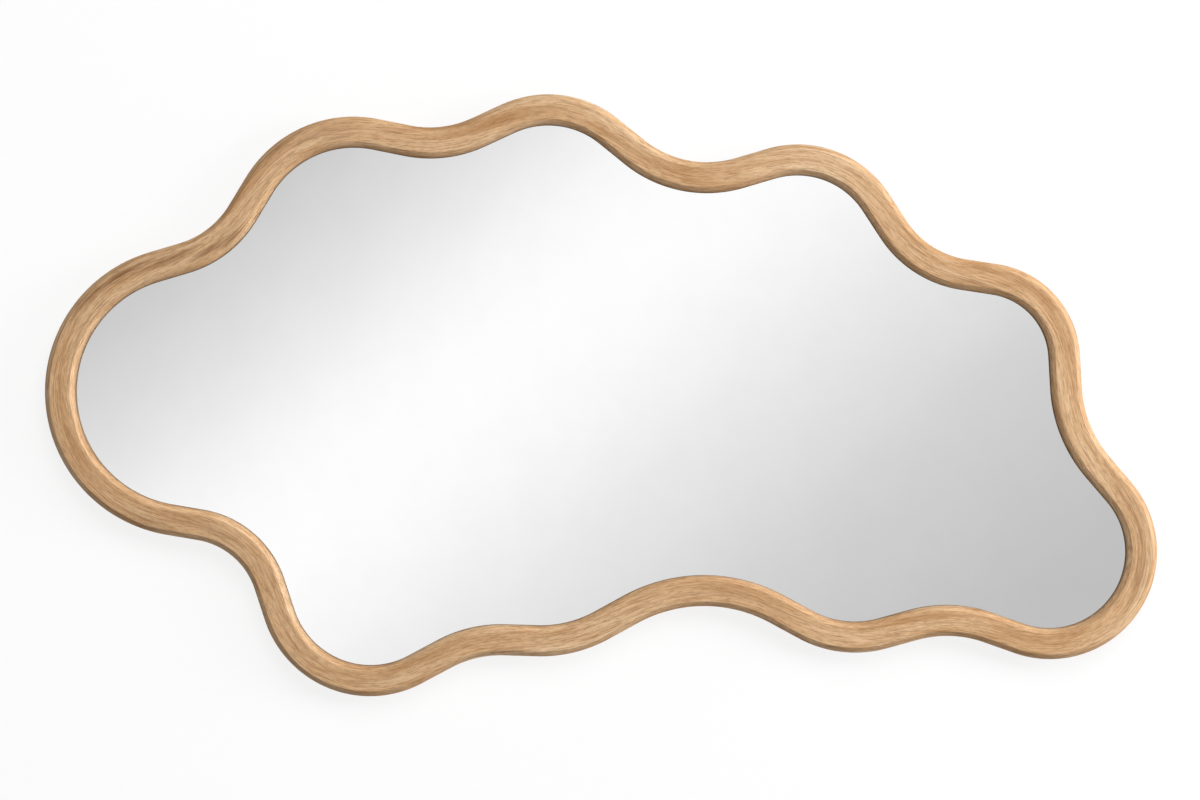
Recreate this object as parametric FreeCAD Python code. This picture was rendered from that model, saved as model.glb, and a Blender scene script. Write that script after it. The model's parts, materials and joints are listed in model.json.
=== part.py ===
import FreeCAD, Part
import math
import os

# A long wall mirror in a wavy rail of solid oak, hung by folding D-rings.
# X runs along its length and Z is up. The front faces -Y and the wall is on the +Y side.
# The origin is the middle of the overall box. All sizes are in millimetres.

mirror_length = 1199        # overall: the height follows in proportion

# Outline: the middle line of the rail runs clockwise over these lobes, seen from the front.
# Each lobe has its centre at x, z. A straight run leads from it to the hollow after it, and another from
# there to the next lobe. The lobes and hollows are a drawing, and are scaled to the mirror's length.
lobes = [
    {"name": "left", "x": -443, "z": 4, "radius": 140, "hollow_after": 110},
    {"name": "upper_left", "x": -267, "z": 165, "radius": 119, "hollow_after": 125},
    {"name": "top", "x": -57, "z": 204, "radius": 104, "hollow_after": 125},
    {"name": "upper_right", "x": 212, "z": 153, "radius": 101, "hollow_after": 110},
    {"name": "right_shoulder", "x": 412, "z": 38, "radius": 88, "hollow_after": 145},
    {"name": "right", "x": 484, "z": -169, "radius": 99, "hollow_after": 135},
    {"name": "bottom_right", "x": 274, "z": -149, "radius": 112, "hollow_after": 165},
    {"name": "bottom_left", "x": -65, "z": -128, "radius": 137, "hollow_after": 130},
    {"name": "lower_left", "x": -249, "z": -205, "radius": 103, "hollow_after": 95},
]
straight_run = 35           # straight stretch between a lobe and a hollow

# Rail section: widths go from the sight edge outwards, depths from the front face back.
rail_width = 33
bevel_width = 5.5           # both front edges, across the face
bevel_depth = 5.5
arris_radius = 1            # sanded edges that show
lip_depth = 10              # front face to glass seat
glass_seat_width = 7
board_seat_width = 17       # sight edge to the wall beside the backing board

# Sheets in the rail: the board lies level with the back of the rail
glass_thickness = 4
foam_thickness = 3
board_thickness = 5
glass_edge_gap = 1          # between the glass and the wall of its seat
board_edge_gap = 0.5

# Loose tenons that join the rail pieces
tenon_width = 10
tenon_thickness = 6
tenon_length = 24
tenon_in_from_sight = 23    # middle of the tenon
tenon_depth = 12
glue_gap = 0.1
mortise_end_gap = 0.5

# Wood screws
screw_radius = 1.5
screw_fit_gap = 0.05        # round the shank, in its hole
pilot_end_gap = 0.5
screw_point_length = 3
recess_width = 0.8          # cross recess for the driver
board_screw_length = 12
board_screw_in_from_sight = 12
board_head_radius = 3
board_head_depth = 1.6
board_recess_span = 3.4
board_recess_depth = 1
hanger_screw_length = 12
hanger_head_radius = 2.6
hanger_head_height = 1.8
hanger_head_rim = 0.6       # upright edge below the dome
hanger_recess_span = 3
hanger_recess_depth = 0.9

# D-ring hangers: a folded steel strap that curls round the straight bar of a wire ring
hanger_in_from_sight = 23
strap_width = 10
strap_length = 24           # from the bar to the rounded end
strap_sheet = 1
strap_ramp_angle = 40       # fall of the upper leaf behind the curl
strap_end_radius = 3
first_screw_from_bar = 8.5
second_screw_from_bar = 19.5
wire_radius = 1.25
curl_gap = 0.1              # round the bar, in the curl
ring_side_gap = 0.4         # from the strap's edge to the start of the ring's corner
ring_corner_radius = 2.5
ring_leg_length = 3
ring_rest_gap = 0.15        # from the crown to the wood, at rest
ring_fold_gap = 0.3         # from the crown to the strap, folded back

# Hangers sit on straight runs, in pairs: the upper pair carries the mirror lengthways, and the upright
# pair carries it on end, with its left end up. The crown of a ring is where the hook holds it. The first
# crown of a pair lies at its own distance along its run, and the second is level with the first.
# way is 1 where the ring points clockwise along the rail, and -1 where it points back.
upper_crown_on_run = 18.5
upright_crown_on_run = 10
hangers = [
    {"name": "upper_left", "run_after": "left_hollow", "way": 1, "on_run": upper_crown_on_run},
    {"name": "upper_right", "run_after": "upper_right", "way": -1, "level_with": "upper_left"},
    {"name": "upright_upper", "run_after": "left", "way": -1, "on_run": upright_crown_on_run},
    {"name": "upright_lower", "run_after": "lower_left_hollow", "way": 1, "in_line_with": "upright_upper"},
]

# Rubber pads that keep the back off the wall
pad_radius = 6
pad_thickness = 6
pad_rim_radius = 1.5        # rounding towards the wall
pad_in_from_sight = 25
pads = [                    # on these lobes, at the side that faces this many degrees up from +X
    {"lobe": "left", "side": 180},
    {"lobe": "top", "side": 90},
    {"lobe": "right", "side": 0},
    {"lobe": "bottom_right", "side": 270},
    {"lobe": "lower_left", "side": 270},
]

rail_depth = lip_depth + glass_thickness + foam_thickness + board_thickness
front = -(rail_depth + pad_thickness) / 2
rail_back = front + rail_depth
seat = front + lip_depth
foam_front = seat + glass_thickness
board_front = foam_front + foam_thickness
half_rail = rail_width / 2
drawn_right = max(lobe["x"] + lobe["radius"] for lobe in lobes)
drawn_left = min(lobe["x"] - lobe["radius"] for lobe in lobes)
outline_scale = (mirror_length - rail_width) / (drawn_right - drawn_left)
to_wall = FreeCAD.Vector(0, 1, 0)


class Bend:
    # One lobe or hollow. reach is its radius, negative for a hollow, whose centre lies outside the mirror.

    def __init__(self, name, x, z, reach):
        self.name = name
        self.x = x
        self.z = z
        self.reach = reach

    def point(self, heading, offset, y):
        # On the line that lies offset outside the middle of the rail, where the rail runs along heading.
        far = self.reach + offset
        return FreeCAD.Vector(self.x - far * math.sin(heading), y, self.z + far * math.cos(heading))

    def centre(self, y=0):
        return FreeCAD.Vector(self.x, y, self.z)


def hollow_between(first, second):
    # The hollow that lies one straight run away from each of the two lobes.
    radius = first["hollow_after"] * outline_scale
    to_first = math.hypot(first["radius"] * outline_scale + radius, straight_run)
    to_second = math.hypot(second["radius"] * outline_scale + radius, straight_run)
    span_x = (second["x"] - first["x"]) * outline_scale
    span_z = (second["z"] - first["z"]) * outline_scale
    span = math.hypot(span_x, span_z)
    along = (to_first ** 2 - to_second ** 2 + span ** 2) / (2 * span)
    out = math.sqrt(to_first ** 2 - along ** 2)
    x = first["x"] * outline_scale + (along * span_x - out * span_z) / span
    z = first["z"] * outline_scale + (along * span_z + out * span_x) / span
    return Bend(first["name"] + "_hollow", x, z, -radius)


def heading_between(first, second):
    # Heading of the straight run that touches both bends.
    span_x = second.x - first.x
    span_z = second.z - first.z
    rise = second.reach - first.reach
    run = math.sqrt(span_x ** 2 + span_z ** 2 - rise ** 2)
    return math.atan2(span_z, span_x) - math.atan2(-rise, run)


def make_bends():
    bends = []
    for number, lobe in enumerate(lobes):
        following = lobes[(number + 1) % len(lobes)]
        x, z, radius = (lobe[key] * outline_scale for key in ("x", "z", "radius"))
        bends.append(Bend(lobe["name"], x, z, radius))
        bends.append(hollow_between(lobe, following))
    for number, bend in enumerate(bends):
        before = bends[number - 1]
        after = bends[(number + 1) % len(bends)]
        bend.enter = heading_between(before, bend)
        leave = heading_between(bend, after)
        if bend.reach > 0:
            bend.turn = -((bend.enter - leave) % math.tau)
        else:
            bend.turn = (leave - bend.enter) % math.tau
        bend.middle = bend.enter + bend.turn / 2
        bend.leave = bend.enter + bend.turn
    return bends


def direction(heading):
    return FreeCAD.Vector(math.cos(heading), 0, math.sin(heading))


def outward(heading):
    return FreeCAD.Vector(-math.sin(heading), 0, math.cos(heading))


def rounded_wire(corners, place):
    # Closed wire through (across, deep, radius) corners, with an arc of that radius at each corner.
    # place turns the two flat coordinates into a point of the model.
    stops = []
    for number, (across, deep, radius) in enumerate(corners):
        here = FreeCAD.Vector(across, deep, 0)
        before = FreeCAD.Vector(*corners[number - 1][:2], 0)
        after = FreeCAD.Vector(*corners[(number + 1) % len(corners)][:2], 0)
        back = (before - here).normalize()
        ahead = (after - here).normalize()
        if radius == 0:
            stops.append((here, None, here))
            continue
        half = back.getAngle(ahead) / 2
        reach = radius / math.tan(half)
        inward = (back + ahead).normalize()
        crown = here + inward * (radius / math.sin(half) - radius)
        stops.append((here + back * reach, crown, here + ahead * reach))
    edges = []
    for number, (start, crown, end) in enumerate(stops):
        if crown is not None:
            edges.append(Part.Arc(place(start), place(crown), place(end)).toShape())
        following = stops[(number + 1) % len(stops)][0]
        if end.distanceToPoint(following) > 1e-6:
            edges.append(Part.LineSegment(place(end), place(following)).toShape())
    return Part.Wire(edges)


def rail_section(point, out):
    # The rail's section as a face through point, which lies on the middle line at the front face.
    corners = [
        (0, bevel_depth, arris_radius),
        (bevel_width, 0, arris_radius),
        (rail_width - bevel_width, 0, arris_radius),
        (rail_width, bevel_depth, arris_radius),
        (rail_width, rail_depth, arris_radius),
        (board_seat_width, rail_depth, 0),
        (board_seat_width, board_front - front, 0),
        (glass_seat_width, board_front - front, 0),
        (glass_seat_width, lip_depth, 0),
        (0, lip_depth, 0),
    ]

    def place(flat):
        return point + out * (flat.x - half_rail) + to_wall * flat.y

    return Part.Face(rounded_wire(corners, place))


def swept_arc(bend, heading, turn):
    section = rail_section(bend.point(heading, 0, front), outward(heading))
    axis = FreeCAD.Vector(0, -math.copysign(1, turn), 0)
    return section.revolve(bend.centre(), axis, math.degrees(abs(turn)))


def rail_piece(first, second):
    # Half of one bend, the straight run, and half of the next bend.
    heading = first.leave
    start = first.point(heading, 0, front)
    end = second.point(heading, 0, front)
    run = rail_section(start, outward(heading)).extrude(end - start)
    opening = swept_arc(first, first.middle, first.turn / 2)
    closing = swept_arc(second, heading, second.turn / 2)
    return run.multiFuse([opening, closing]).removeSplitter()


def outline_face(in_from_sight, y):
    # Flat sheet outline that lies in_from_sight outside the sight edge all the way round.
    offset = in_from_sight - half_rail
    edges = []
    for number, bend in enumerate(bends):
        after = bends[(number + 1) % len(bends)]
        start = bend.point(bend.enter, offset, y)
        crown = bend.point(bend.middle, offset, y)
        end = bend.point(bend.leave, offset, y)
        edges.append(Part.Arc(start, crown, end).toShape())
        edges.append(Part.LineSegment(end, after.point(after.enter, offset, y)).toShape())
    return Part.Face(Part.Wire(edges))


def sheet(in_from_sight, y, thickness):
    return outline_face(in_from_sight, y).extrude(to_wall * thickness)


def stadium_bar(width, thickness, length):
    # Bar along X, rounded over its whole thickness at both edges, with its middle at the origin.
    corners = [
        (-width / 2, -thickness / 2, thickness / 2),
        (width / 2, -thickness / 2, thickness / 2),
        (width / 2, thickness / 2, thickness / 2),
        (-width / 2, thickness / 2, thickness / 2),
    ]

    def place(flat):
        return FreeCAD.Vector(-length / 2, flat.x, flat.y)

    return Part.Face(rounded_wire(corners, place)).extrude(FreeCAD.Vector(length, 0, 0))


def placed(shape, origin, along):
    # Local X goes along the rail, local Z points from the wood to the wall.
    across = to_wall.cross(along)
    rotation = FreeCAD.Rotation(along, across, to_wall, "ZXY")
    return shape.transformed(FreeCAD.Placement(origin, rotation).toMatrix())


def tenon_bar(side_gap, end_gap):
    width = tenon_width + 2 * side_gap
    thickness = tenon_thickness + 2 * side_gap
    return stadium_bar(width, thickness, tenon_length + 2 * end_gap)


def tenon_place(bend):
    offset = tenon_in_from_sight - half_rail
    return bend.point(bend.middle, offset, front + tenon_depth), direction(bend.middle)


def cross_recess(span, depth):
    # Cross-shaped cutter that reaches down from the origin.
    arm = Part.makeBox(span, recess_width, depth, FreeCAD.Vector(-span / 2, -recess_width / 2, -depth))
    other = Part.makeBox(recess_width, span, depth, FreeCAD.Vector(-recess_width / 2, -span / 2, -depth))
    return arm.fuse(other)


def turned(corners):
    # Solid of revolution about Z from (radius, height, rounding) corners.
    def place(flat):
        return FreeCAD.Vector(flat.x, 0, flat.y)

    face = Part.Face(rounded_wire(corners, place))
    return face.revolve(FreeCAD.Vector(), FreeCAD.Vector(0, 0, 1), 360)


def countersunk_screw():
    # Flat head level with the origin, point downwards.
    body = turned([
        (0, 0, 0),
        (board_head_radius, 0, 0),
        (screw_radius, -board_head_depth, 0),
        (screw_radius, screw_point_length - board_screw_length, 0),
        (0, -board_screw_length, 0),
    ])
    return body.cut(cross_recess(board_recess_span, board_recess_depth))


def countersunk_hole():
    # The cone runs on past the board's face, so that the cut is clean.
    head = board_head_radius + screw_fit_gap
    shank = screw_radius + screw_fit_gap
    proud = board_head_depth
    bottom = -board_screw_length - pilot_end_gap
    return turned([
        (0, proud, 0),
        (2 * head - shank, proud, 0),
        (shank, -board_head_depth, 0),
        (shank, bottom, 0),
        (0, bottom, 0),
    ])


def pan_screw():
    # Underside of the rounded head at the origin, point downwards.
    body = turned([
        (0, hanger_head_height, 0),
        (hanger_head_radius, hanger_head_height, hanger_head_height - hanger_head_rim),
        (hanger_head_radius, 0, 0),
        (screw_radius, 0, 0),
        (screw_radius, screw_point_length - hanger_screw_length, 0),
        (0, -hanger_screw_length, 0),
    ])
    recess = cross_recess(hanger_recess_span, hanger_recess_depth)
    recess.translate(FreeCAD.Vector(0, 0, hanger_head_height))
    return body.cut(recess)


def pan_hole():
    depth = hanger_screw_length + pilot_end_gap
    return Part.makeCylinder(screw_radius + screw_fit_gap, depth, FreeCAD.Vector(0, 0, -depth))


# Hanger, in its own frame: the bar's axis is Y, the strap lies on the wood at Z = 0 and runs to -X.
curl_inner = wire_radius + curl_gap
curl_outer = curl_inner + strap_sheet
bar_height = curl_outer
leaf_height = 2 * strap_sheet
leg_side = strap_width / 2 + ring_side_gap + ring_corner_radius
crown_reach = ring_corner_radius + ring_leg_length + leg_side
screw_places = (-first_screw_from_bar, -second_screw_from_bar)


def curl_corners(radius, foot):
    # Round the bar at the given radius, then down the ramp to the height called foot.
    ramp = math.radians(strap_ramp_angle)
    brow = -radius * math.tan(ramp / 2)
    landing = brow - (bar_height + radius - foot) / math.tan(ramp)
    return [
        (radius, bar_height - radius, radius),
        (radius, bar_height + radius, radius),
        (brow, bar_height + radius, radius),
        (landing, foot, 0),
    ]


def hanger_strap():
    def place(flat):
        return FreeCAD.Vector(flat.x, -strap_width / 2, flat.y)

    outer = curl_corners(curl_outer, leaf_height)
    outer.append((-strap_length, leaf_height, 0))
    outer.append((-strap_length, 0, 0))
    side = Part.Face(rounded_wire(outer, place))
    hole = Part.Face(rounded_wire(curl_corners(curl_inner, strap_sheet), place))
    strap = side.cut(hole).extrude(FreeCAD.Vector(0, strap_width, 0))
    plan_corners = [
        (-strap_length, -strap_width / 2, strap_end_radius),
        (curl_outer, -strap_width / 2, 0),
        (curl_outer, strap_width / 2, 0),
        (-strap_length, strap_width / 2, strap_end_radius),
    ]

    def lay(flat):
        return FreeCAD.Vector(flat.x, flat.y, 0)

    plan = Part.Face(rounded_wire(plan_corners, lay)).extrude(FreeCAD.Vector(0, 0, 2 * curl_outer))
    strap = strap.common(plan)
    for place_on_strap in screw_places:
        foot = FreeCAD.Vector(place_on_strap, 0, 0)
        strap = strap.cut(Part.makeCylinder(screw_radius + screw_fit_gap, leaf_height, foot))
    return strap


def ring_lean():
    # Angle by which the ring leans back on the wood at rest.
    return math.asin((bar_height - wire_radius - ring_rest_gap) / crown_reach)


def ring_fold_limit():
    # Angle at which the crown comes down on the strap, counted from rest.
    crown_height = leaf_height + ring_fold_gap + wire_radius - bar_height
    return math.pi + ring_lean() - math.asin(crown_height / crown_reach)


def hanger_ring():
    # D-shaped loop of round wire, flat at the height of its bar, then leaned back about the bar.
    corners = [
        (0, -leg_side, ring_corner_radius),
        (crown_reach, -leg_side, leg_side),
        (crown_reach, leg_side, leg_side),
        (0, leg_side, ring_corner_radius),
    ]

    def lay(flat):
        return FreeCAD.Vector(flat.x, flat.y, bar_height)

    path = rounded_wire(corners, lay)
    first = path.Edges[0]
    start = first.valueAt(first.FirstParameter)
    tangent = first.tangentAt(first.FirstParameter)
    circle = Part.Wire(Part.Circle(start, tangent, wire_radius).toShape())
    ring = path.makePipeShell([circle], True, True)
    bar = FreeCAD.Vector(0, 0, bar_height)
    ring.rotate(bar, FreeCAD.Vector(0, 1, 0), math.degrees(ring_lean()))
    return ring


def find_bend(name):
    return next(bend for bend in bends if bend.name == name)


def find_hanger(name):
    return next(hanger for hanger in hangers if hanger["name"] == name)


def crown_place(hanger):
    # Point on the back of the rail under the ring's crown, and the heading of the run.
    bend = find_bend(hanger["run_after"])
    start = bend.point(bend.leave, hanger_in_from_sight - half_rail, rail_back)
    along = direction(bend.leave)
    if "level_with" in hanger:
        partner, _ = crown_place(find_hanger(hanger["level_with"]))
        distance = (partner.z - start.z) / along.z
    elif "in_line_with" in hanger:
        partner, _ = crown_place(find_hanger(hanger["in_line_with"]))
        distance = (partner.x - start.x) / along.x
    else:
        distance = hanger["on_run"]
    return start + along * distance, along


def hanger_place(hanger):
    # Origin of the hanger's frame, under the ring's bar, and the way that the ring points.
    crown, along = crown_place(hanger)
    points = along * hanger["way"]
    return crown - points * crown_reach, points


def board_screw_places():
    # One at the middle of each straight run.
    offset = board_screw_in_from_sight - half_rail
    places = []
    for number, bend in enumerate(bends):
        after = bends[(number + 1) % len(bends)]
        start = bend.point(bend.leave, offset, rail_back)
        end = after.point(after.enter, offset, rail_back)
        places.append(((start + end) * 0.5, direction(bend.leave)))
    return places


def wall_pad():
    # Disc with its base at the origin.
    return turned([
        (0, 0, 0),
        (pad_radius, 0, 0),
        (pad_radius, pad_thickness, pad_rim_radius),
        (0, pad_thickness, 0),
    ])


def pad_place(pad):
    lobe = find_bend(pad["lobe"])
    heading = math.radians(pad["side"] - 90)
    return lobe.point(heading, pad_in_from_sight - half_rail, rail_back), direction(heading)


def export(name, shape):
    shape.exportStep("parts/" + name + ".step")


bends = make_bends()
os.makedirs("parts", exist_ok=True)

board_screw_spots = board_screw_places()
hanger_frames = [hanger_place(hanger) for hanger in hangers]
hanger_screw_spots = []
for origin, points in hanger_frames:
    for distance in screw_places:
        hanger_screw_spots.append((origin + points * distance, points))

board_hole = countersunk_hole()
board_holes = [placed(board_hole, spot, along) for spot, along in board_screw_spots]
pilot = pan_hole()
cutters = board_holes + [placed(pilot, spot, along) for spot, along in hanger_screw_spots]
mortise = tenon_bar(glue_gap, mortise_end_gap)
cutters += [placed(mortise, *tenon_place(bend)) for bend in bends]

for number, bend in enumerate(bends):
    piece = rail_piece(bend, bends[(number + 1) % len(bends)])
    near = [cutter for cutter in cutters if piece.BoundBox.intersect(cutter.BoundBox)]
    export("rail_piece_%02d" % (number + 1), piece.cut(near))

loose_tenon = tenon_bar(0, 0)
export("rail_tenons", Part.makeCompound([placed(loose_tenon, *tenon_place(bend)) for bend in bends]))
glass_edge = glass_seat_width - glass_edge_gap
export("mirror_glass", sheet(glass_edge, seat, glass_thickness))
export("foam_sheet", sheet(glass_edge, foam_front, foam_thickness))
board = sheet(board_seat_width - board_edge_gap, board_front, board_thickness)
export("backing_board", board.cut(board_holes))
screw = countersunk_screw()
screws = [placed(screw, spot, along) for spot, along in board_screw_spots]
export("board_screws", Part.makeCompound(screws))

strap = hanger_strap()
ring = hanger_ring()
for hanger, frame in zip(hangers, hanger_frames):
    export("hanger_strap_" + hanger["name"], placed(strap, *frame))
    export("hanger_ring_" + hanger["name"], placed(ring, *frame))
screw = pan_screw()
on_strap = to_wall * leaf_height
screws = [placed(screw, spot + on_strap, along) for spot, along in hanger_screw_spots]
export("hanger_screws", Part.makeCompound(screws))
disc = wall_pad()
export("wall_pads", Part.makeCompound([placed(disc, *pad_place(pad)) for pad in pads]))

print("ring turns from 0 to %.1f degrees" % math.degrees(ring_fold_limit()))
for hanger, (origin, points) in zip(hangers, hanger_frames):
    bar = origin + to_wall * bar_height
    axis = points.cross(to_wall)
    print("ring %s bar %.3f %.3f %.3f axis %.5f %.5f %.5f" % (hanger["name"], *bar, *axis))
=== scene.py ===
import bpy
import json
import math
from itertools import accumulate
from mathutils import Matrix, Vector


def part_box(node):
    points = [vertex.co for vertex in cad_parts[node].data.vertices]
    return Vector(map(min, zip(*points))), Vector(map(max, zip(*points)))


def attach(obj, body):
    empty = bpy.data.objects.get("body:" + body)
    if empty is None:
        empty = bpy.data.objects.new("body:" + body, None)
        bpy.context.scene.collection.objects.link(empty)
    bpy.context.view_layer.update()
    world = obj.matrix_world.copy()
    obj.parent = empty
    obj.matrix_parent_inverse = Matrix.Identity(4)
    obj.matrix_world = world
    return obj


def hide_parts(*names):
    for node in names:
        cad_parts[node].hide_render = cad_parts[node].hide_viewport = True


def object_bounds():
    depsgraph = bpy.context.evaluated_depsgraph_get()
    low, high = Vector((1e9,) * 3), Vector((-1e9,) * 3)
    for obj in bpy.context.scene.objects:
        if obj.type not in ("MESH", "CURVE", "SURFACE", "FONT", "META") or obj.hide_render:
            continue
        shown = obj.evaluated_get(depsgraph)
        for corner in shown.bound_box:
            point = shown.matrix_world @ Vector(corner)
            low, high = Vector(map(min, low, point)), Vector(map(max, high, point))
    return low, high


# A long wall mirror in a wavy oak rail. Metres, X along the mirror, Z up, the wall on the +Y side.
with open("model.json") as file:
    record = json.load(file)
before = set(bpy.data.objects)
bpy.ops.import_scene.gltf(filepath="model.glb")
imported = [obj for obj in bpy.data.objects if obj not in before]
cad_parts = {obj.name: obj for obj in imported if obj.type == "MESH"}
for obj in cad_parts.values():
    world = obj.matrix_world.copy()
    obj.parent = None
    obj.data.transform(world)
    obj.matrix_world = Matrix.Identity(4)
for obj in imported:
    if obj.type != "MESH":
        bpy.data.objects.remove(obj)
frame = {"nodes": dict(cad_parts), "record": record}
cadLow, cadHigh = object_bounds()
mm = 0.001


def toLinear(hexColour):
    # sRGB hex to the linear colour that the nodes want
    levels = [int(hexColour[place:place + 2], 16) / 255 for place in (1, 3, 5)]
    return [v / 12.92 if v <= 0.04045 else ((v + 0.055) / 1.055) ** 2.4 for v in levels] + [1]


def addNode(tree, kind, inputs=None, **settings):
    # inputs are values or other nodes' outputs, settings are the node's own choices
    node = tree.nodes.new(kind)
    for name, value in settings.items():
        setattr(node, name, value)
    for name, value in (inputs or {}).items():
        if isinstance(value, bpy.types.NodeSocket):
            tree.links.new(value, node.inputs[name])
        else:
            node.inputs[name].default_value = value
    return node


def setStops(ramp, stops):
    # stops: (place, linear colour), in order
    elements = ramp.color_ramp.elements
    while len(elements) < len(stops):
        elements.new(1)
    for element, (place, colour) in zip(elements, stops):
        element.position = place
        element.color = colour


def newMaterial(name, shine):
    material = bpy.data.materials.new(name)
    material.use_nodes = True
    tree = material.node_tree
    tree.nodes.clear()
    shader = addNode(tree, "ShaderNodeBsdfPrincipled", shine)
    output = addNode(tree, "ShaderNodeOutputMaterial")
    tree.links.new(shader.outputs["BSDF"], output.inputs["Surface"])
    return material, tree, shader


def dress(piece, material):
    piece.data.materials.clear()
    piece.data.materials.append(material)


def only(piece):
    if bpy.context.mode != "OBJECT":
        bpy.ops.object.mode_set(mode="OBJECT")
    bpy.ops.object.select_all(action="DESELECT")
    piece.select_set(True)
    bpy.context.view_layer.objects.active = piece


def pick(piece, kind, test):
    # into edit mode, with each corner, edge or face selected whose place or middle passes the test
    only(piece)
    mesh = piece.data
    bpy.ops.object.mode_set(mode="EDIT")
    bpy.ops.mesh.select_mode(type=kind)
    bpy.ops.mesh.select_all(action="DESELECT")
    bpy.ops.object.mode_set(mode="OBJECT")
    if kind == "VERT":
        for vertex in mesh.vertices:
            vertex.select = test(vertex.co)
    elif kind == "EDGE":
        for edge in mesh.edges:
            start, end = (mesh.vertices[number].co for number in edge.vertices)
            edge.select = test((start + end) / 2)
    else:
        for face in mesh.polygons:
            face.select = test(face.center)
    bpy.ops.object.mode_set(mode="EDIT")


oakLook = {
    # the darkest brown is painted shade, for the wall above the glass and the foot of the bevel over it
    "pale": "#e7c7a0", "body": "#d6ae83", "brown": "#a27240", "heart": "#6e441c", "paintedShadeBrown": "#21160c",
    # each layer of the grain: mm along and across it, and the noise's detail and roughness
    "layers": {
        "tone": (190, 15, 2, 0.5),          # broad changes of tone
        "ring": (330, 26, 2, 0.45),         # growth rings: contour lines of a slow pattern
        "figure": (42, 1.7, 4, 0.6),        # darker streaks
        "fibre": (9, 1, 3, 0.65),           # pores are 0.2 mm wide: drawn wider, so that they show
    },
    "brownAt": 0.15, "bodyAt": 0.46, "paleAt": 0.75,        # the tone that has each colour
    "ringCount": 18,
    "ringLine": ((0, 0), (0.5, 0.04), (0.85, 0.3), (1, 0)), # over one ring's width: how brown it goes
    "streakFrom": 0.43, "streakTo": 0.7, "streakDark": 0.68,
    "poreFrom": 0.46, "poreTo": 0.7, "poreDark": 0.55,
    "poreDeep": 0.12, "poreRelief": 0.35,                   # mm, and how much of it shows
    "heartFrom": 0.3, "heartTo": 0.62, "heartLeast": 0.55,  # how the figure breaks up the heart streaks
    "smoothest": 0.42, "roughest": 0.62,
    "specular": 0.35,                                       # an oiled face is duller than a varnished one
}


def oiledOak():
    # Oiled oak, sawn and sanded: warm tan with long streaks, fine open pores and a soft sheen
    shine = {"IOR": 1.5, "Specular IOR Level": oakLook["specular"]}
    material, tree, shader = newMaterial("oiled oak", shine)
    grain = addNode(tree, "ShaderNodeAttribute", attribute_name="grain").outputs["Vector"]
    depth = addNode(tree, "ShaderNodeAttribute", attribute_name="depth").outputs["Fac"]
    heart = addNode(tree, "ShaderNodeAttribute", attribute_name="heart").outputs["Fac"]
    shade = addNode(tree, "ShaderNodeAttribute", attribute_name="shade").outputs["Fac"]

    layers = {}
    for layer, (long, wide, detail, rough) in oakLook["layers"].items():
        along, across = 1 / (long * mm), 1 / (wide * mm)
        place = addNode(tree, "ShaderNodeMapping", {"Vector": grain, "Scale": (along, along, across)})
        deep = addNode(tree, "ShaderNodeMath", {0: depth, 1: across}, operation="MULTIPLY")
        layers[layer] = addNode(tree, "ShaderNodeTexNoise", {
            "Vector": place.outputs["Vector"], "W": deep.outputs[0],
            "Scale": 1, "Detail": detail, "Roughness": rough,
        }, noise_dimensions="4D").outputs["Fac"]

    tone = addNode(tree, "ShaderNodeValToRGB", {"Fac": layers["tone"]})
    setStops(tone, [(oakLook[name + "At"], toLinear(oakLook[name])) for name in ("brown", "body", "pale")])
    rings = addNode(tree, "ShaderNodeMath", {
        0: layers["ring"], 1: oakLook["ringCount"],
    }, operation="MULTIPLY")
    rings = addNode(tree, "ShaderNodeMath", {0: rings.outputs[0]}, operation="FRACT")
    ringLine = addNode(tree, "ShaderNodeValToRGB", {"Fac": rings.outputs[0]})
    setStops(ringLine, [(place, (dark, dark, dark, 1)) for place, dark in oakLook["ringLine"]])
    streak = addNode(tree, "ShaderNodeMapRange", {
        "Value": layers["figure"], "From Min": oakLook["streakFrom"], "From Max": oakLook["streakTo"],
        "To Max": oakLook["streakDark"],
    }, interpolation_type="SMOOTHSTEP")
    pore = addNode(tree, "ShaderNodeMapRange", {
        "Value": layers["fibre"], "From Min": oakLook["poreFrom"], "From Max": oakLook["poreTo"],
        "To Max": oakLook["poreDark"],
    })
    broken = addNode(tree, "ShaderNodeMapRange", {
        "Value": layers["figure"], "From Min": oakLook["heartFrom"], "From Max": oakLook["heartTo"],
        "To Min": oakLook["heartLeast"], "To Max": 1,
    })
    heartStreak = addNode(tree, "ShaderNodeMath", {
        0: heart, 1: broken.outputs["Result"],
    }, operation="MULTIPLY")

    # one after another they take the wood towards a darker colour
    colour = tone.outputs["Color"]
    for amount, darker in (
        (ringLine.outputs["Color"], "brown"),
        (streak.outputs["Result"], "brown"),
        (pore.outputs["Result"], "heart"),
        (heartStreak.outputs[0], "heart"),
        (shade, "paintedShadeBrown"),                # painted shade down the wall above the glass and at the foot of the bevel, where shade falls in the recess
    ):
        mixed = addNode(tree, "ShaderNodeMix", {
            0: amount, 6: colour, 7: toLinear(oakLook[darker]),
        }, data_type="RGBA")
        colour = mixed.outputs[2]
    tree.links.new(colour, shader.inputs["Base Color"])

    sheen = addNode(tree, "ShaderNodeMapRange", {
        "Value": layers["figure"], "To Min": oakLook["smoothest"], "To Max": oakLook["roughest"],
    })
    dull = addNode(tree, "ShaderNodeMath", {
        0: sheen.outputs["Result"], 1: shade,
    }, operation="ADD", use_clamp=True)
    tree.links.new(dull.outputs[0], shader.inputs["Roughness"])
    bump = addNode(tree, "ShaderNodeBump", {
        "Height": layers["fibre"], "Strength": oakLook["poreRelief"], "Distance": oakLook["poreDeep"] * mm,
    })
    tree.links.new(bump.outputs["Normal"], shader.inputs["Normal"])
    return material


speckle = {"from": 0.35, "to": 0.65, "detail": 4, "rough": 0.6, "relief": 0.5}


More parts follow.
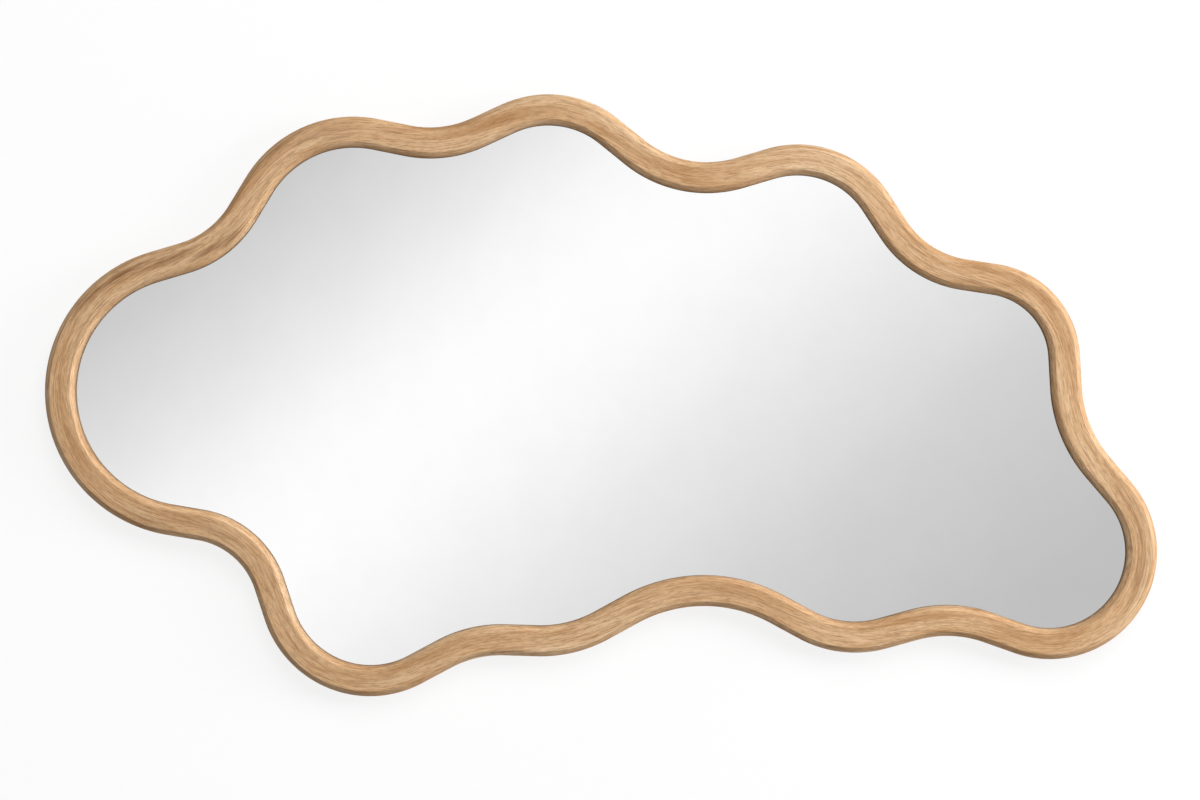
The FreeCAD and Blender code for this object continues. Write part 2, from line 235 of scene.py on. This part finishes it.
def speckled(name, shine, colours, size, rough, height):
    # a surface whose colour, gloss and height vary with one fine noise: size and height are in mm
    material, tree, shader = newMaterial(name, shine)
    place = addNode(tree, "ShaderNodeTexCoord").outputs["Object"]
    spread = addNode(tree, "ShaderNodeMapping", {"Vector": place, "Scale": [1 / (size * mm)] * 3})
    noise = addNode(tree, "ShaderNodeTexNoise", {
        "Vector": spread.outputs["Vector"],
        "Scale": 1, "Detail": speckle["detail"], "Roughness": speckle["rough"],
    }).outputs["Fac"]
    colour = addNode(tree, "ShaderNodeValToRGB", {"Fac": noise})
    setStops(colour, [(speckle["from"], toLinear(colours[0])), (speckle["to"], toLinear(colours[1]))])
    tree.links.new(colour.outputs["Color"], shader.inputs["Base Color"])
    gloss = addNode(tree, "ShaderNodeMapRange", {"Value": noise, "To Min": rough[0], "To Max": rough[1]})
    tree.links.new(gloss.outputs["Result"], shader.inputs["Roughness"])
    if height:
        bump = addNode(tree, "ShaderNodeBump", {
            "Height": noise, "Strength": speckle["relief"], "Distance": height * mm,
        })
        tree.links.new(bump.outputs["Normal"], shader.inputs["Normal"])
    return material


metal = {"Metallic": 1}
fibrous = {"IOR": 1.5}          # wood, board and foam
materials = {
    # Silvered float glass: bright, neutral, and as sharp as polished glass
    "mirror_glass": speckled(
        "silvered float glass", metal, ("#fcfcfc", "#fefefe"), 60, (0.012, 0.02), 0),
    # Hard fibreboard, hot pressed: brown, smooth, with flecks of fibre
    "fibreboard": speckled(
        "hard fibreboard", fibrous, ("#6a4c30", "#93704d"), 4, (0.55, 0.75), 0.05),
    # Closed-cell polyethylene foam: off-white, dull, with small cells
    "foam": speckled(
        "polyethylene foam", fibrous, ("#dcdcd6", "#efefea"), 0.8, (0.75, 0.9), 0.1),
    # Planed beech: pinkish tan with short flecks
    "tenon_beech": speckled(
        "planed beech", fibrous, ("#c7a077", "#dcbb95"), 1.5, (0.5, 0.65), 0.03),
    # Bright zinc plate on pressed steel sheet: cool grey, softly blurred reflections
    "zinc_strap": speckled(
        "zinc-plated steel sheet", metal, ("#a8abae", "#c4c6c8"), 1.2, (0.3, 0.45), 0.01),
    # Bright zinc plate on cold-headed steel: a little smoother
    "zinc_screw": speckled(
        "zinc-plated screw steel", metal, ("#b0b2b3", "#cbccca"), 0.6, (0.22, 0.36), 0.008),
    # Drawn steel wire, zinc plated: fine marks
    "ring_wire": speckled(
        "zinc-plated drawn wire", metal, ("#b2b4b5", "#cdcecd"), 0.5, (0.2, 0.34), 0.006),
    # Moulded rubber: near black, dull, with a fine moulded grain
    "pad_rubber": speckled(
        "moulded rubber", {"IOR": 1.52}, ("#1b1b1b", "#262626"), 0.7, (0.6, 0.8), 0.03),
}
oak = oiledOak()
print("materials:", len(materials) + 1)

rail = {
    # the section, in mm: widths out from the sight edge, depths back from the front
    "width": 33, "depth": 22, "bevel": 5.5, "arris": 1,
    "lip": 10, "glassSeat": 7, "boardFront": 17, "boardSeat": 17,
    # how finely it is made: strips across the face, mm round a bend, steps on a run, degrees of a crease
    "faceStrips": 8, "step": 2.6, "runSteps": 8, "crease": 32,
    # how dark the painted shade is on the wall above the glass, and at the foot of the bevel over it
    "wallPaintedShade": 0.7, "footPaintedShade": 0.35,
}
wave = {
    # the rail's middle line, in mm: lobes clockwise, each x, z, radius, and the next hollow's radius
    "run": 35,                  # straight, between a lobe and a hollow
    "lobes": [
        (-443, 4, 140, 110), (-267, 165, 119, 125), (-57, 204, 104, 125), (212, 153, 101, 110),
        (412, 38, 88, 145), (484, -169, 99, 135), (274, -149, 112, 165), (-65, -128, 137, 130),
        (-249, -205, 103, 95),
    ],
}
grainFlow = {"reach": 50, "step": 5}    # mm: the grain follows the rail's mean heading over this reach
heartStreaks = [                        # in mm: along the rail, out from its middle, and how far it reaches
    {"along": 15, "out": 6, "long": 30, "wide": 4, "dark": 0.4},
    {"along": 300, "out": 8, "long": 28, "wide": 2.5, "dark": 0.8},
    {"along": 345, "out": 5.5, "long": 35, "wide": 3, "dark": 0.9},
    {"along": 395, "out": 2, "long": 32, "wide": 3, "dark": 0.9},
    {"along": 435, "out": -4, "long": 22, "wide": 2.5, "dark": 0.95},
    {"along": 462, "out": -9, "long": 14, "wide": 2.5, "dark": 0.8},
    {"along": 560, "out": 10, "long": 35, "wide": 3, "dark": 0.6},
    {"along": 610, "out": 3, "long": 25, "wide": 3, "dark": 0.6},
    {"along": 630, "out": -6, "long": 20, "wide": 3, "dark": 0.45},
    {"along": 1395, "out": -8, "long": 45, "wide": 3, "dark": 0.45},
    {"along": 1745, "out": 0, "long": 60, "wide": 6, "dark": 0.35},
    {"along": 1805, "out": 0, "long": 20, "wide": 4, "dark": 0.4},
    {"along": 2300, "out": 2, "long": 75, "wide": 3, "dark": 0.2},
    {"along": 2950, "out": 2, "long": 35, "wide": 3.5, "dark": 0.45},
]


def makeBends():
    # each lobe and hollow: its centre, its radius (negative for a hollow), the rail's heading where it
    # enters and leaves, and the place along the rail where it starts
    lobes = wave["lobes"]
    bends = []
    for number, (x, z, radius, hollow) in enumerate(lobes):
        nextX, nextZ, nextRadius, _ = lobes[(number + 1) % len(lobes)]
        here = math.hypot(radius + hollow, wave["run"])
        there = math.hypot(nextRadius + hollow, wave["run"])
        span = math.hypot(nextX - x, nextZ - z)
        toward = ((nextX - x) / span, (nextZ - z) / span)
        along = (here ** 2 - there ** 2 + span ** 2) / (2 * span)
        out = math.sqrt(here ** 2 - along ** 2)
        bends.append({"x": x, "z": z, "radius": radius})
        bends.append({
            "x": x + along * toward[0] - out * toward[1],
            "z": z + along * toward[1] + out * toward[0],
            "radius": -hollow,
        })
    for number, bend in enumerate(bends):
        after = bends[(number + 1) % len(bends)]
        spanX, spanZ = after["x"] - bend["x"], after["z"] - bend["z"]
        rise = after["radius"] - bend["radius"]
        straight = math.sqrt(spanX ** 2 + spanZ ** 2 - rise ** 2)
        bend["leave"] = math.atan2(spanZ, spanX) + math.atan2(rise, straight)
    distance = 0
    for number, bend in enumerate(bends):
        bend["enter"] = bends[number - 1]["leave"]
        turn = (bend["leave"] - bend["enter"]) % math.tau
        bend["turn"] = turn - math.tau if bend["radius"] > 0 else turn
        bend["start"] = distance
        distance += abs(bend["radius"] * bend["turn"]) + wave["run"]
    return bends, distance


bends, railLength = makeBends()


def bendPoint(bend, heading):
    # where on that bend the rail has that heading
    x = bend["x"] - bend["radius"] * math.sin(heading)
    z = bend["z"] + bend["radius"] * math.cos(heading)
    return x, z


def grainDrift():
    # how far the grain lines have wandered across the rail at each mm along it
    count = round(railLength)
    turning = [0] * count
    for bend in bends:
        arc = abs(bend["radius"] * bend["turn"])
        for place in range(round(bend["start"]), round(bend["start"] + arc)):
            turning[place % count] = bend["turn"] / arc
    heading = list(accumulate(turning))
    reach = range(-grainFlow["reach"], grainFlow["reach"] + 1, grainFlow["step"])
    drift = []
    for place in range(count):
        swing = 0
        for step in reach:
            laps, spot = divmod(place + step, count)
            swing += heading[spot] + laps * heading[-1] - heading[place]
        drift.append(math.tan(swing / len(reach)))
    drift = list(accumulate(drift))
    return [value - drift[-1] * place / count for place, value in enumerate(drift)]


drift = grainDrift()
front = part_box("rail_piece_01")[0].y
close = 0.1 * mm                # how near a corner must lie to be picked


def makeSection():
    # a plane, cut and bevelled: X goes out from the rail's middle line, and Y back to the wall
    half, deep = rail["width"] / 2, rail["depth"]
    bpy.ops.object.select_all(action="DESELECT")
    bpy.ops.mesh.primitive_plane_add(size=1, location=(0, deep / 2 * mm, 0))
    section = bpy.context.object
    section.scale = (rail["width"] * mm, deep * mm, 1)
    bpy.ops.object.transform_apply(location=True, rotation=True, scale=True)

    # both rebates, one for the glass and one for the board
    glass = (rail["glassSeat"] - half) * mm
    board = (rail["boardSeat"] - half) * mm
    lip, boardFront = rail["lip"] * mm, rail["boardFront"] * mm
    for place, normal in (
        ((glass, 0, 0), (1, 0, 0)),
        ((board, 0, 0), (1, 0, 0)),
        ((0, lip, 0), (0, 1, 0)),
        ((0, boardFront, 0), (0, 1, 0)),
    ):
        pick(section, "FACE", lambda middle: True)
        bpy.ops.mesh.bisect(plane_co=place, plane_no=normal)
    pick(section, "FACE", lambda middle: (
        (middle.x < glass and middle.y > lip) or (middle.x < board and middle.y > boardFront)
    ))
    bpy.ops.mesh.delete(type="FACE")
    bpy.ops.mesh.select_all(action="SELECT")
    bpy.ops.mesh.dissolve_limited(angle_limit=math.radians(1))

    # front bevels, then sanded arrises on them and on the outer back edge
    bevel, arris = rail["bevel"] * mm, rail["arris"] * mm
    pick(section, "VERT", lambda corner: corner.y < close)
    bpy.ops.mesh.bevel(offset=bevel, offset_type="ABSOLUTE", segments=1, affect="VERTICES")
    pick(section, "VERT", lambda corner: corner.y < bevel + close)
    setBack = arris * math.tan(math.radians(22.5))      # for that radius on a corner that turns 45 degrees
    bpy.ops.mesh.bevel(offset=setBack, offset_type="ABSOLUTE", segments=3, affect="VERTICES")
    pick(section, "VERT", lambda corner: corner.x > half * mm - close and corner.y > deep * mm - close)
    bpy.ops.mesh.bevel(offset=arris, offset_type="ABSOLUTE", segments=4, affect="VERTICES")

    # strips across the face and the bevels, which carry the grain's course
    pick(section, "EDGE", lambda middle: middle.y < close and abs(middle.x) < 1 * mm)
    bpy.ops.mesh.subdivide(number_cuts=rail["faceStrips"] - 1)
    slope = bevel / 2
    pick(section, "EDGE", lambda middle: (
        abs(abs(middle.x) - half * mm + slope) < 0.5 * mm and abs(middle.y - slope) < 0.5 * mm
    ))
    bpy.ops.mesh.subdivide(number_cuts=1)
    bpy.ops.object.mode_set(mode="OBJECT")
    return section


def spinRound(bend, turn):
    steps = max(2, math.ceil(abs(bend["radius"] * turn) / rail["step"]))
    centre = (bend["x"] * mm, 0, bend["z"] * mm)
    bpy.ops.mesh.spin(steps=steps, angle=turn, center=centre, axis=(0, 1, 0))


def sweepRail(section, number):
    # half of one bend, the straight run, and half of the next bend
    first, second = bends[number], bends[(number + 1) % len(bends)]
    middle = first["enter"] + first["turn"] / 2
    piece = bpy.data.objects.new("oakRail%02d" % (number + 1), section.data.copy())
    bpy.context.scene.collection.objects.link(piece)
    x, z = bendPoint(first, middle)
    piece.location = (x * mm, front, z * mm)
    piece.rotation_euler = (0, -middle - math.pi / 2, 0)
    only(piece)
    bpy.ops.object.transform_apply(location=True, rotation=True, scale=True)
    pick(piece, "FACE", lambda centre: True)
    spinRound(first, first["turn"] / 2)
    stride = wave["run"] / rail["runSteps"] * mm
    move = (math.cos(first["leave"]) * stride, 0, math.sin(first["leave"]) * stride)
    for _ in range(rail["runSteps"]):
        bpy.ops.mesh.extrude_region_move(TRANSFORM_OT_translate={"value": move})
    spinRound(second, second["turn"] / 2)
    bpy.ops.mesh.select_all(action="SELECT")
    bpy.ops.mesh.remove_doubles(threshold=0.01 * mm)
    bpy.ops.mesh.normals_make_consistent(inside=False)
    bpy.ops.object.mode_set(mode="OBJECT")
    bpy.ops.object.shade_smooth_by_angle(angle=math.radians(rail["crease"]))
    return piece


def railPlace(number, point):
    # how far along the rail and out from its middle a point on that piece lies, in mm
    first, second = bends[number], bends[(number + 1) % len(bends)]
    x, z = point.x / mm, point.z / mm
    heading = first["leave"]
    startX, startZ = bendPoint(first, heading)
    ahead = (x - startX) * math.cos(heading) + (z - startZ) * math.sin(heading)
    arcEnd = first["start"] + abs(first["radius"] * first["turn"])
    if 0 <= ahead <= wave["run"]:
        return arcEnd + ahead, (z - startZ) * math.cos(heading) - (x - startX) * math.sin(heading)
    bend, known = (first, first["leave"]) if ahead < 0 else (second, second["enter"])
    side = math.copysign(1, bend["radius"])
    far = side * math.hypot(x - bend["x"], z - bend["z"])
    here = math.atan2(-(x - bend["x"]) * side, (z - bend["z"]) * side)
    swing = abs(bend["radius"] * ((here - known + math.pi) % math.tau - math.pi))
    along = arcEnd - swing if ahead < 0 else arcEnd + wave["run"] + swing
    return along, far - bend["radius"]


def layGrain(piece, number):
    # the grain's own coordinates: round a ring as long as the rail, so that it has no seam, and across
    mesh = piece.data
    ringRadius = railLength / math.tau * mm
    course, depths, hearts, shades = [], [], [], []
    for vertex in mesh.vertices:
        along, out = railPlace(number, vertex.co)
        wander = drift[round(along) % len(drift)]
        lap = along / railLength * math.tau
        course += [ringRadius * math.cos(lap), ringRadius * math.sin(lap), (out - wander) * mm]
        depth = vertex.co.y - front
        depths.append(depth)

        # painted shade: the wall above the glass, and the foot of the bevel over it, are darkened where shade
        # falls in the recess
        shade = 0
        if out < 0 and depth > rail["bevel"] * mm:
            shade = rail["wallPaintedShade"]
        elif out < 0:
            shade = rail["footPaintedShade"] * (depth / (rail["bevel"] * mm)) ** 3
        shades.append(shade)

        heart = 0
        for spot in heartStreaks:
            away = (along - spot["along"] + railLength / 2) % railLength - railLength / 2
            off = out - wander - spot["out"] + drift[spot["along"]]
            heart += spot["dark"] * math.exp(-(away / spot["long"]) ** 2 - (off / spot["wide"]) ** 2)
        hearts.append(min(heart, 1))
    mesh.attributes.new("grain", "FLOAT_VECTOR", "POINT").data.foreach_set("vector", course)
    for name, values in (("depth", depths), ("heart", hearts), ("shade", shades)):
        mesh.attributes.new(name, "FLOAT", "POINT").data.foreach_set("value", values)


section = makeSection()
print("rail section:", len(section.data.vertices), "corners")
for number in range(len(bends)):
    piece = sweepRail(section, number)
    layGrain(piece, number)
    dress(piece, oak)
    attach(piece, "mirror")
    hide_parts("rail_piece_%02d" % (number + 1))
bpy.data.objects.remove(section)
print("rail:", len(bends), "oak pieces,", round(railLength), "mm along the middle")

softEdges = {                   # pieces with softened edges: the edge's width in mm
    "hanger_strap_upper_left": 0.18, "hanger_strap_upper_right": 0.18,
    "hanger_strap_upright_upper": 0.18, "hanger_strap_upright_lower": 0.18,
    "hanger_screws": 0.1, "board_screws": 0.08, "foam_sheet": 0.6, "backing_board": 0.4,
}
softening = {"merge": 0.001, "flat": 0.5, "sharp": 38, "crease": 35, "steps": 2}    # mm, degrees, and a count
slotOf = {}
for subpart in frame["record"]["subparts"]:
    slotOf[subpart["node"]] = subpart["material_slot"]


def softened(node, width):
    # a copy of the node's mesh, merged, with its sharp edges rounded off
    words = node.split("_")
    name = words[0] + "".join(word.capitalize() for word in words[1:])
    piece = bpy.data.objects.new(name, frame["nodes"][node].data.copy())
    bpy.context.scene.collection.objects.link(piece)
    only(piece)
    bpy.ops.mesh.customdata_custom_splitnormals_clear()
    pick(piece, "VERT", lambda corner: True)
    bpy.ops.mesh.remove_doubles(threshold=softening["merge"] * mm)
    bpy.ops.mesh.dissolve_limited(angle_limit=math.radians(softening["flat"]))
    bpy.ops.object.mode_set(mode="OBJECT")
    edge = piece.modifiers.new("edge", "BEVEL")
    edge.width = width * mm
    edge.segments = softening["steps"]
    edge.limit_method = "ANGLE"
    edge.angle_limit = math.radians(softening["sharp"])
    bpy.ops.object.modifier_apply(modifier=edge.name)
    bpy.ops.object.shade_smooth_by_angle(angle=math.radians(softening["crease"]))
    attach(piece, "mirror")
    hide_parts(node)
    dress(piece, materials[slotOf[node]])
    return piece


for node, width in softEdges.items():
    piece = softened(node, width)
print("softened:", len(softEdges), "pieces")

for name, node in frame["nodes"].items():
    if not node.hide_render:
        dress(node, materials[slotOf[name]])

studio = {
    # camera: lens in mm, metres from the rail's front, and its place across and up
    "lens": 85, "distance": 3.0487, "x": -0.0011, "z": -0.0051,
    # softboxes: degrees from +X up to +Z and out from the wall, share of white, and size in metres
    "right": {"turn": 8, "lift": 18, "share": 0.94, "size": 2.2},
    "top": {"turn": 70, "lift": 48, "share": 0.84, "size": 3.4},
    "lampDistance": 5,
    "behind": {"place": (-1.6, 4, 1.6), "share": 0.7, "size": 3},
    "fill": 0.1,                # the plain grey light from all round
}
room = {
    "wallWide": 12, "wallHigh": 3, "wallGlow": 0.835, "wallPaint": 0.16,
    "floorWide": 7, "floorDeep": 6, "floorAt": -0.75, "floorGlow": 0.62, "floorPaint": 0.4,
    "floorBounce": 0.35,        # how light the floor is to all but the camera and the mirror
    "mottle": 0.003,            # how much the paint varies
}
band = {
    "tilt": 50,                 # it runs up to the right: its light falls off this far below level, degrees
    # sine of the angle from straight out of the mirror, and how light the room is there
    "stops": [
        (-0.6, "#eaeaea"), (-0.21, "#c0c0c0"), (-0.135, "#cbcbcb"), (-0.08, "#eeeeee"), (-0.035, "#ffffff"),
        (0.02, "#f1f1f1"), (0.07, "#dbdbdb"), (0.12, "#cacaca"), (0.18, "#c5c5c5"), (0.6, "#eaeaea"),
    ],
}


def addLamp(name, place, share, size):
    # share 1 lights a white sheet that faces the lamp to white
    bpy.ops.object.light_add(type="AREA", location=place)
    lamp = bpy.context.object
    lamp.name = name
    lamp.data.size = size
    lamp.data.energy = share * (math.pi * Vector(place).length) ** 2
    lamp.rotation_euler = Vector(place).to_track_quat("Z", "Y").to_euler()


for side in ("right", "top"):
    softbox = studio[side]
    turn, lift = math.radians(softbox["turn"]), math.radians(softbox["lift"])
    flat = math.cos(lift)
    toLamp = Vector((flat * math.cos(turn), -math.sin(lift), flat * math.sin(turn)))
    addLamp(side + "Softbox", toLamp * studio["lampDistance"], softbox["share"], softbox["size"])
behind = studio["behind"]
addLamp("rearSoftbox", behind["place"], behind["share"], behind["size"])


def makeWorld():
    # white to the camera, plain grey as fill, and a soft diagonal band of light for the mirror to show
    world = bpy.data.worlds.new("studio")
    bpy.context.scene.world = world
    world.use_nodes = True
    tree = world.node_tree
    tree.nodes.clear()
    rays = addNode(tree, "ShaderNodeLightPath")
    toward = addNode(tree, "ShaderNodeTexCoord").outputs["Generated"]
    tilt = math.radians(band["tilt"])
    across = addNode(tree, "ShaderNodeVectorMath", {
        0: toward, 1: (math.cos(tilt), 0, -math.sin(tilt)),
    }, operation="DOT_PRODUCT")
    low, high = band["stops"][0][0], band["stops"][-1][0]
    spread = addNode(tree, "ShaderNodeMapRange", {
        "Value": across.outputs["Value"], "From Min": low, "From Max": high,
    })
    glow = addNode(tree, "ShaderNodeValToRGB", {"Fac": spread.outputs["Result"]})
    glow.color_ramp.interpolation = "CARDINAL"
    setStops(glow, [((place - low) / (high - low), toLinear(grey)) for place, grey in band["stops"]])
    fill = addNode(tree, "ShaderNodeBackground", {"Color": (1, 1, 1, 1), "Strength": studio["fill"]})
    shown = addNode(tree, "ShaderNodeBackground", {"Color": glow.outputs["Color"], "Strength": 1})
    white = addNode(tree, "ShaderNodeBackground", {"Color": (1, 1, 1, 1), "Strength": 1})
    sharp = addNode(tree, "ShaderNodeMath", {
        0: rays.outputs["Is Glossy Ray"], 1: rays.outputs["Is Transmission Ray"],
    }, operation="MAXIMUM")
    # light that reaches the wood by way of the mirror is the plain fill too
    sharp = addNode(tree, "ShaderNodeMath", {
        0: sharp.outputs[0], 1: rays.outputs["Diffuse Depth"],
    }, operation="SUBTRACT", use_clamp=True)
    reflected = addNode(tree, "ShaderNodeMixShader", {
        0: sharp.outputs[0], 1: fill.outputs[0], 2: shown.outputs[0],
    })
    seen = addNode(tree, "ShaderNodeMixShader", {
        0: rays.outputs["Is Camera Ray"], 1: reflected.outputs[0], 2: white.outputs[0],
    })
    addNode(tree, "ShaderNodeOutputWorld", {"Surface": seen.outputs[0]})


makeWorld()


def pale(name, glow, paint, oneSided):
    # painted plaster, near white to the camera, where it keeps the mirror's shadow
    material = bpy.data.materials.new(name)
    material.use_nodes = True
    tree = material.node_tree
    tree.nodes.clear()
    rays = addNode(tree, "ShaderNodeLightPath")
    place = addNode(tree, "ShaderNodeTexCoord").outputs["Object"]
    mottle = addNode(tree, "ShaderNodeTexNoise", {"Vector": place, "Scale": 3, "Detail": 2})
    tone = addNode(tree, "ShaderNodeMapRange", {
        "Value": mottle.outputs["Fac"],
        "To Min": paint - room["mottle"], "To Max": paint + room["mottle"],
    })
    matte = addNode(tree, "ShaderNodeBsdfDiffuse", {"Color": tone.outputs["Result"]})
    lit = addNode(tree, "ShaderNodeEmission", {"Color": (1, 1, 1, 1), "Strength": glow})
    both = addNode(tree, "ShaderNodeAddShader", {0: matte.outputs[0], 1: lit.outputs[0]})
    if oneSided:
        # only the camera sees it, and only from the room: light and views from behind pass through
        back = addNode(tree, "ShaderNodeNewGeometry").outputs["Backfacing"]
        shown = addNode(tree, "ShaderNodeMath", {
            0: rays.outputs["Is Camera Ray"], 1: back,
        }, operation="SUBTRACT", use_clamp=True)
        other = addNode(tree, "ShaderNodeBsdfTransparent")
    else:
        shown = addNode(tree, "ShaderNodeMath", {
            0: rays.outputs["Is Camera Ray"], 1: rays.outputs["Is Glossy Ray"],
        }, operation="MAXIMUM")
        other = addNode(tree, "ShaderNodeBsdfDiffuse", {"Color": [room["floorBounce"]] * 3 + [1]})
    mixed = addNode(tree, "ShaderNodeMixShader", {
        0: shown.outputs[0], 1: other.outputs[0], 2: both.outputs[0],
    })
    addNode(tree, "ShaderNodeOutputMaterial", {"Surface": mixed.outputs[0]})
    return material


wallMiddle = (0, cadHigh.y, room["floorAt"] + room["wallHigh"] / 2)
bpy.ops.mesh.primitive_plane_add(size=1, location=wallMiddle, rotation=(math.pi / 2, 0, 0))
wall = bpy.context.object
wall.name = "wall"
wall.scale = (room["wallWide"], room["wallHigh"], 1)
bpy.ops.mesh.primitive_plane_add(size=1, location=(0, 0, room["floorAt"]))
floor = bpy.context.object
floor.name = "floor"
floor.scale = (room["floorWide"], room["floorDeep"], 1)
for stage in (wall, floor):
    only(stage)
    bpy.ops.object.transform_apply(location=True, rotation=True, scale=True)
dress(wall, pale("wall paint", room["wallGlow"], room["wallPaint"], True))
dress(floor, pale("floor paint", room["floorGlow"], room["floorPaint"], False))

bpy.ops.object.camera_add(
    location=(studio["x"], front - studio["distance"], studio["z"]), rotation=(math.pi / 2, 0, 0))
camera = bpy.context.object
camera.data.lens = studio["lens"]
bpy.context.scene.camera = camera
bpy.context.scene.view_settings.view_transform = "Standard"
print("studio ready")
